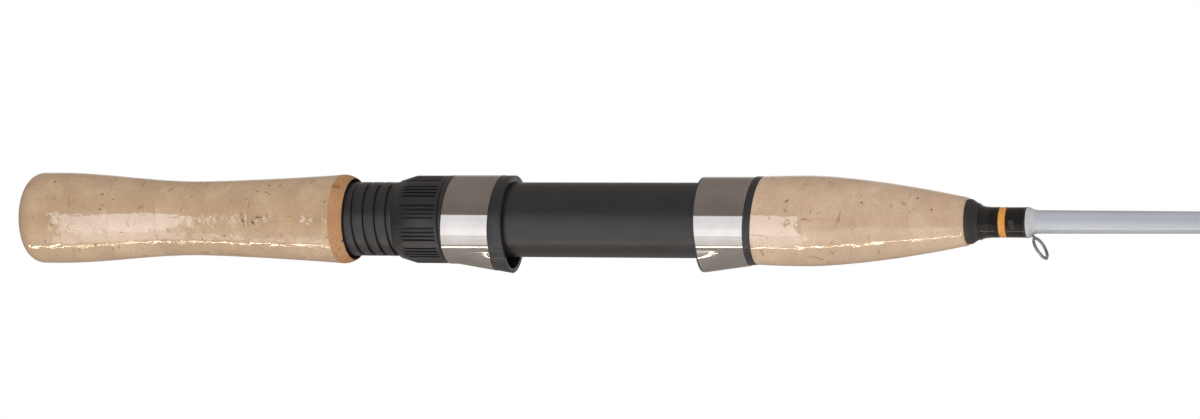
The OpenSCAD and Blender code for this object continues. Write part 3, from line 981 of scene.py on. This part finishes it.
coatPlan = {
    "wall": 0.00012,
    "fillet": 0.0044,
    "filletLength": 0.0022,
    "filletOver": 0.0005,
    "flare": 0.0022,
    "steps": 8,
}
start, end, _ = reach("butt_winding_coat")
inner = blankRadius(start) + 0.00065
outer = inner + coatPlan["wall"]
rings = [(start, inner), (start, coatPlan["fillet"])]
for k in range(1, coatPlan["steps"] + 1):  # the coat draws up against the check in a small hollow fillet
    part = k / coatPlan["steps"]
    rings.append(
        (start + coatPlan["filletLength"] * part, outer + (coatPlan["fillet"] - outer) * (1 - part) ** 2.4)
    )
filletEnd = start + coatPlan["filletLength"] + coatPlan["filletOver"]
rings += [(filletEnd, inner + 0.00001), (filletEnd, inner), rings[0]]
coat = turnRings("windingCoat", rings, 96)
flareStart = end - coatPlan["flare"]
tail = blankRadius(flareStart) + glue
rings = [(flareStart - 0.0006, inner), (flareStart - 0.0005, inner + 0.00004), (flareStart, outer)]
for k in range(1, coatPlan["steps"] + 1):  # and runs out on the blank
    part = k / coatPlan["steps"]
    rings.append((
        flareStart + coatPlan["flare"] * part,
        tail + 0.00003 + (outer - tail - 0.00003) * (1 + math.cos(math.pi * part)) / 2,
    ))
rings += [(end, tail), (flareStart + 0.00005, tail), (flareStart + 0.00005, inner), rings[0]]
flare = turnRings("coatFlare", rings, 96)
sagBelow(coat, buttWrap["sag"], 0)
sagBelow(flare, buttWrap["sag"], tail + 0.0003)
moveTogether(coat, flare)
smooth(coat, 60)
finishPiece(coat, "rod", ["butt_winding_coat"], "clear_coat", coatOnThread, coatOnBlank)
for face in coat.data.polygons:
    if face.center.x > flareStart:
        face.material_index = 1
print("butt winding coated")


# wire work

def wire(name, points, radius, sides=12, closed=False):
    # a bent wire through the points, made round and capped
    clearAll()
    bpy.ops.curve.primitive_bezier_curve_add(location=(0, 0, 0))
    obj = bpy.context.active_object
    obj.name = name
    spline = obj.data.splines[0]
    spline.bezier_points.add(len(points) - 2)
    for knot, place in zip(spline.bezier_points, points):
        knot.co = place
        knot.handle_left_type = "AUTO"
        knot.handle_right_type = "AUTO"
    spline.resolution_u = 8
    obj.data.dimensions = "3D"
    obj.data.bevel_depth = radius
    obj.data.bevel_resolution = sides // 4 - 1
    obj.data.use_fill_caps = True
    pickOnly(obj)
    bpy.ops.object.convert(target="MESH")
    obj = takeNew(name)
    tidyMesh(obj)
    return obj


def wireLoop(name, centre, radius, wireRadius, lean, yaw):
    clearAll()
    bpy.ops.mesh.primitive_torus_add(
        major_radius=radius, minor_radius=wireRadius, major_segments=64, minor_segments=16,
        location=centre, rotation=(0, math.radians(90 - lean), math.radians(yaw)),
    )
    return takeNew(name)


def blob(name, centre, radii, segments=20):
    clearAll()
    bpy.ops.mesh.primitive_uv_sphere_add(
        segments=segments, ring_count=segments // 2, radius=1, location=centre
    )
    bpy.context.active_object.scale = radii
    return takeNew(name)


def foot(name, start, end, top, width, thickness):
    # a flattened wire end, thin and narrow at its tip
    obj = block(name, ((start + end) / 2, 0, top - thickness / 2), (abs(end - start), width, thickness))
    tipPoints = [abs(v.co.x - start) < 1e-6 for v in obj.data.vertices]
    resizeSome(obj, tipPoints, (1, 0.45, 0.5), (start, 0, top))
    softenEdges(obj, thickness * 0.3, 40, 2)
    return obj


keeper = {
    "centre": (0.280, 0, -0.0067),
    "ring": 0.0029,
    "wire": 0.0004,
    "lean": 30,
    "yaw": -10,
    "footWidth": 0.0016,
    "footThick": 0.0003,
    "footEnd": 0.2772,
    "footMiddle": 0.2646,
    "neck": ((0.2764, 0.00025), (0.2776, 0.0003)),
    "neckIntoRing": 0.0001,
    "knot": (0.00062, 0.00058, 0.00050),
    "ball": (0.0005, 0.00052, 0.0005),
}
centreX, _, centreZ = keeper["centre"]
footTop = -blankRadius(keeper["footMiddle"]) - glue
loop = wireLoop(
    "hookKeeper", keeper["centre"], keeper["ring"], keeper["wire"], keeper["lean"], keeper["yaw"]
)
lean = math.radians(keeper["lean"])
acrossRing = keeper["ring"] * math.sin(lean)
downRing = keeper["ring"] * math.cos(lean)
knot = (centreX - acrossRing, 0, centreZ + downRing)
neckPoints = [(x, 0, footTop - below) for x, below in keeper["neck"]]
neckPoints.append((knot[0], 0, knot[2] + keeper["neckIntoRing"]))
neck = wire("keeperNeck", neckPoints, keeper["wire"])
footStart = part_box("hook_keeper")[0].x
parts = [
    foot("keeperFoot", footStart, keeper["footEnd"], footTop, keeper["footWidth"], keeper["footThick"]),
    neck,
    blob("keeperKnot", knot, keeper["knot"]),
    blob("keeperBall", (centreX + acrossRing, 0, centreZ - downRing), keeper["ball"]),
]
for part in parts:
    boolean(loop, part, "UNION")
smooth(loop, 45)
finishPiece(loop, "rod", ["hook_keeper"], "guide_steel", keeperSteel)


guidePlan = {
    "wire": 0.0005,
    "collarWall": 0.0005,
    "collarWidth": 0.0011,
    "footLength": 0.013,
    "footWidth": 0.0016,
    "footThick": 0.0003,
    "footGap": 0.007,
    "spread": (50, 34.3),
    "bores": (0.0045, 0.0036, 0.0028, 0.0023),
    "winding": (0.00065, 0.0004),
}


def ceramicRing(name, node, bore, slotName="ceramic"):
    low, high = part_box(node)
    outer = (high.y - low.y) / 2
    z = (low.z + high.z) / 2
    soft = 0.00035
    edge = 0.0001
    steps = 8
    rings = [(low.x, outer - edge), (low.x + edge, outer), (high.x - edge, outer), (high.x, outer - edge)]
    for k in range(steps + 1):  # the bore is rounded so that line runs clean
        turn = math.pi / 2 * k / steps
        rings.append((high.x - soft + soft * math.cos(turn), bore + soft - soft * math.sin(turn)))
    for k in range(steps + 1):
        turn = math.pi / 2 * k / steps
        rings.append((low.x + soft - soft * math.sin(turn), bore + soft - soft * math.cos(turn)))
    rings.append(rings[0])
    piece = turnRings(name, rings, 64)
    moveUp(piece, z)
    smooth(piece, 50)
    return finishPiece(piece, "rod", [node], slotName, ceramic)


def collar(name, x, z, inner, wall, width):
    half = width / 2
    soft = 0.00015
    piece = turnRings(name, [
        (x - half, inner), (x - half, inner + wall - soft), (x - half + soft, inner + wall),
        (x + half - soft, inner + wall), (x + half, inner + wall - soft),
        (x + half, inner), (x - half, inner),
    ], 64)
    moveUp(piece, z)
    return piece


def guideLegs(frameObj, tipX, footEnd, footTop, ringX, ringZ, ringRadius, spread):
    # a flat foot, and two wires bent down from its end to the sides of the collar
    plate = foot("foot", tipX, footEnd, footTop, guidePlan["footWidth"], guidePlan["footThick"])
    boolean(frameObj, plate, "UNION")
    toward = 1 if footEnd > tipX else -1
    level = footTop - guidePlan["footThick"] - 0.0003
    for side in (-1, 1):
        turn = math.radians(spread)
        endZ = ringZ + ringRadius * math.cos(turn)
        end = (ringX - toward * 0.0001, side * ringRadius * math.sin(turn), endZ)
        begin = (footEnd - toward * (0.0015 + side * 0.00004), side * 0.0003, level + 0.00015)
        bend = (footEnd + toward * 0.0004, side * 0.00045, level)
        middle = tuple(b + (e - b) * 0.45 for b, e in zip(bend, end))
        leg = wire("leg", [begin, bend, middle, end], guidePlan["wire"])
        boolean(frameObj, leg, "UNION")


for i in range(1, 5):
    low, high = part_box(f"guide_ring_{i}")
    x = (low.x + high.x) / 2
    z = (low.z + high.z) / 2
    outer = (high.y - low.y) / 2
    ceramicRing(f"guideRing{i}", f"guide_ring_{i}", guidePlan["bores"][i - 1])
    holder = collar(f"guideFrame{i}", x, z, outer + glue, guidePlan["collarWall"], guidePlan["collarWidth"])
    legRadius = outer + glue + guidePlan["collarWall"] / 2
    rearEnd = x - guidePlan["footGap"]
    tip = rearEnd - guidePlan["footLength"]
    guideLegs(holder, tip, rearEnd, -blankRadius(tip) - glue, x, z, legRadius, guidePlan["spread"][0])
    if i == 1:
        frontEnd = x + guidePlan["footGap"]
        tip = frontEnd + guidePlan["footLength"]
        guideLegs(
            holder, tip, frontEnd, -blankRadius(frontEnd) - glue, x, z, legRadius, guidePlan["spread"][1]
        )
    smooth(holder, 45)
    finishPiece(holder, "rod", [f"guide_frame_{i}"], "guide_steel", guideSteel)
wrapThickness, wrapEdge = guidePlan["winding"]
for i in range(1, 6):
    winding(
        f"guideWinding{i}", f"guide_winding_{i}", wrapThickness, wrapEdge, threadBlack, "thread_black", 48
    )
print("guides wrapped on")


# tip top

tipPlan = {
    "tube": 0.0016,
    "tubeEnd": 0.7578,
    "wire": 0.00045,
    "spread": 65,
    "bore": 0.0019,
    "legStart": (-0.005, 0.0014, -0.001),
    "legBow": 0.0006,
    "winding": (0.000325, 0.0002),
}
low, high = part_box("tip_ring")
x = (low.x + high.x) / 2
z = (low.z + high.z) / 2
outer = (high.y - low.y) / 2
ceramicRing("tipRing", "tip_ring", tipPlan["bore"])
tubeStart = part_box("tip_top")[0].x
tubeEnd = tipPlan["tubeEnd"]
tube = tipPlan["tube"]
plugFace = blankEnd + glue
bore = blankRadius(tubeStart) + glue
tip = turnRings("tipTop", [
    (tubeStart, bore),
    (tubeStart, tube - 0.00015),
    (tubeStart + 0.0002, tube),
    (tubeEnd - 0.0008, tube),
    (tubeEnd - 0.0003, tube - 0.0003),
    (tubeEnd, tube - 0.0009),
    (tubeEnd, 0.0001),
    (plugFace, 0.0001),
    (plugFace, bore),
    (tubeStart, bore),
], 48)
tipCollar = collar("tipCollar", x, z, outer + glue, guidePlan["collarWall"], guidePlan["collarWidth"])
boolean(tip, tipCollar, "UNION")
for side in (-1, 1):
    turn = math.radians(tipPlan["spread"])
    ringR = outer + 0.0003
    end = (x, side * ringR * math.sin(turn), z + ringR * math.cos(turn))
    legX, legY, legZ = tipPlan["legStart"]
    begin = (tubeEnd + legX, side * legY, legZ)
    middle = (
        (begin[0] + end[0]) / 2 + tipPlan["legBow"],
        side * (abs(begin[1]) * 0.45 + abs(end[1]) * 0.55),
        begin[2] * 0.6 + end[2] * 0.4,
    )
    boolean(tip, wire("tipLeg", [begin, middle, end], tipPlan["wire"]), "UNION")
smooth(tip, 45)
finishPiece(tip, "rod", ["tip_top"], "guide_steel", guideSteel)
winding("tipWinding", "tip_winding", *tipPlan["winding"], threadBlack, "thread_black", 48)
print("tip top fitted")


# filler rings under the seat stay as they were cut

arborMaterial = corkFinish("arborFiller", 20, film=False)
for i in range(1, 4):
    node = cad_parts[f"seat_arbor_{i}"]
    node.data.materials.clear()
    node.data.materials.append(arborMaterial)


# studio

studio = {
    "floorDrop": 0.95,
    "floorSize": 18.0,
    "floorGlow": 0.5,
    "camera": (0.5446, -1.1981, 0.00275),
    "target": (0.16225, 0, 0.00275),
    "roll": 0.2,
    "lens": 144,
    "panelX": (-0.40, -0.055),
    "panelZ": (-0.93, 0.20),
    "panelY": -1.0,
    "panelPower": 1.45,
    "lowPanelX": (-0.45, -0.02),
    "lowPanelY": (-0.95, -0.36),
    "lowPanelZ": -0.93,
    "lowPanelPower": 0.7,
    "stripPower": 14.0,
}
clearAll()
bpy.ops.mesh.primitive_plane_add(size=studio["floorSize"], location=(0.35, 0, -studio["floorDrop"]))
floor = takeNew("floor")
floorFinish, tree, shader = newFinish("floorPale")
mottle = noise(tree, coordinates(tree), 1.5, 3)
tone = ramp(tree, mottle, (0.3, (0.80, 0.80, 0.79)), (0.7, (0.84, 0.84, 0.83)))
tree.links.new(tone, shader.inputs["Base Color"])
shader.inputs["Roughness"].default_value = 0.9
# the floor looks pale from above, and stays dim in the steel's reflections
seen = tree.nodes.new("ShaderNodeLightPath")
shader.inputs["Emission Color"].default_value = (0.92, 0.92, 0.92, 1)
glow = sums(tree, seen.outputs["Is Camera Ray"], studio["floorGlow"], "MULTIPLY")
tree.links.new(glow, shader.inputs["Emission Strength"])
floor.data.materials.append(floorFinish)


def softLight(name, centre, aim, width, height, radiance, colour, glossy=True):
    # radiance is how bright the panel's face looks; a light's power is that times its area and pi
    data = bpy.data.lights.new(name, "AREA")
    data.shape = "RECTANGLE"
    data.size = width
    data.size_y = height
    data.energy = radiance * width * height * math.pi
    data.color = colour
    obj = bpy.data.objects.new(name, data)
    bpy.context.scene.collection.objects.link(obj)
    obj.location = centre
    direction = Vector(aim) - Vector(centre)
    obj.rotation_mode = "QUATERNION"
    obj.rotation_quaternion = direction.to_track_quat("-Z", "Y")
    obj.visible_camera = False
    obj.visible_glossy = glossy
    obj.visible_transmission = glossy
    return obj


midX = sum(studio["panelX"]) / 2
midZ = sum(studio["panelZ"]) / 2
softLight(
    "frontPanel", (midX, studio["panelY"], midZ), (midX, 0, midZ),
    studio["panelX"][1] - studio["panelX"][0], studio["panelZ"][1] - studio["panelZ"][0],
    studio["panelPower"], (0.96, 0.96, 1.0),
)
lowX = sum(studio["lowPanelX"]) / 2
lowY = sum(studio["lowPanelY"]) / 2
softLight(
    "lowPanel", (lowX, lowY, studio["lowPanelZ"]), (lowX, lowY, 0),
    studio["lowPanelX"][1] - studio["lowPanelX"][0], studio["lowPanelY"][1] - studio["lowPanelY"][0],
    studio["lowPanelPower"], (1.0, 0.98, 0.97),
)
softLight(
    "lowStrip", (0.0, -0.285, -0.90), (0.1, 0, 0), 1.6, 0.022, studio["stripPower"], (1.0, 0.82, 0.58)
)
fillLights = (  # name, place, width, height, radiance, colour
    ("overheadFill", (0.35, -0.5, 1.6), 2.0, 1.6, 0.98, (1.0, 0.98, 0.95)),
    ("frontFill", (0.9, -2.2, 0.1), 2.4, 1.6, 1.9, (1.0, 0.98, 0.96)),
    ("lowFill", (0.5, -1.2, -0.85), 1.6, 0.9, 0.7, (1.0, 0.97, 0.94)),
)
for name, place, width, tall, radiance, tint in fillLights:
    softLight(name, place, (0.3, 0, 0), width, tall, radiance, tint, glossy=False)

world = bpy.data.worlds.new("studioAir")
bpy.context.scene.world = world
world.use_nodes = True
tree = world.node_tree
back = tree.nodes["Background"]
rays = tree.nodes.new("ShaderNodeLightPath")
direction = tree.nodes.new("ShaderNodeTexCoord")
axes = tree.nodes.new("ShaderNodeSeparateXYZ")
tree.links.new(direction.outputs["Generated"], axes.inputs[0])
height = ramp(
    tree, between(tree, axes.outputs["Z"], -1, 1),
    (0.0, (0.12, 0.10, 0.085)), (0.56, (0.18, 0.155, 0.14)),
    (0.61, (0.31, 0.27, 0.235)), (1.0, (0.36, 0.315, 0.28)),
)
behind = between(tree, axes.outputs["Y"], 0.80, 0.97)
room = blendColour(tree, behind, height, (0.95, 0.95, 0.95))
air = blendColour(tree, rays.outputs["Is Camera Ray"], room, (1.0, 1.0, 1.0))
tree.links.new(air, back.inputs["Color"])
bpy.context.scene.view_settings.view_transform = "Standard"

cameraData = bpy.data.cameras.new("camera")
cameraData.lens = studio["lens"]
cameraData.sensor_width = 36
cameraData.clip_start = 0.01
camera = bpy.data.objects.new("camera", cameraData)
bpy.context.scene.collection.objects.link(camera)
camera.location = studio["camera"]
look = Vector(studio["target"]) - Vector(studio["camera"])
camera.rotation_mode = "QUATERNION"
roll = Quaternion((0, 0, 1), math.radians(studio["roll"]))
camera.rotation_quaternion = look.to_track_quat("-Z", "Y") @ roll
bpy.context.scene.camera = camera
print("studio lit")
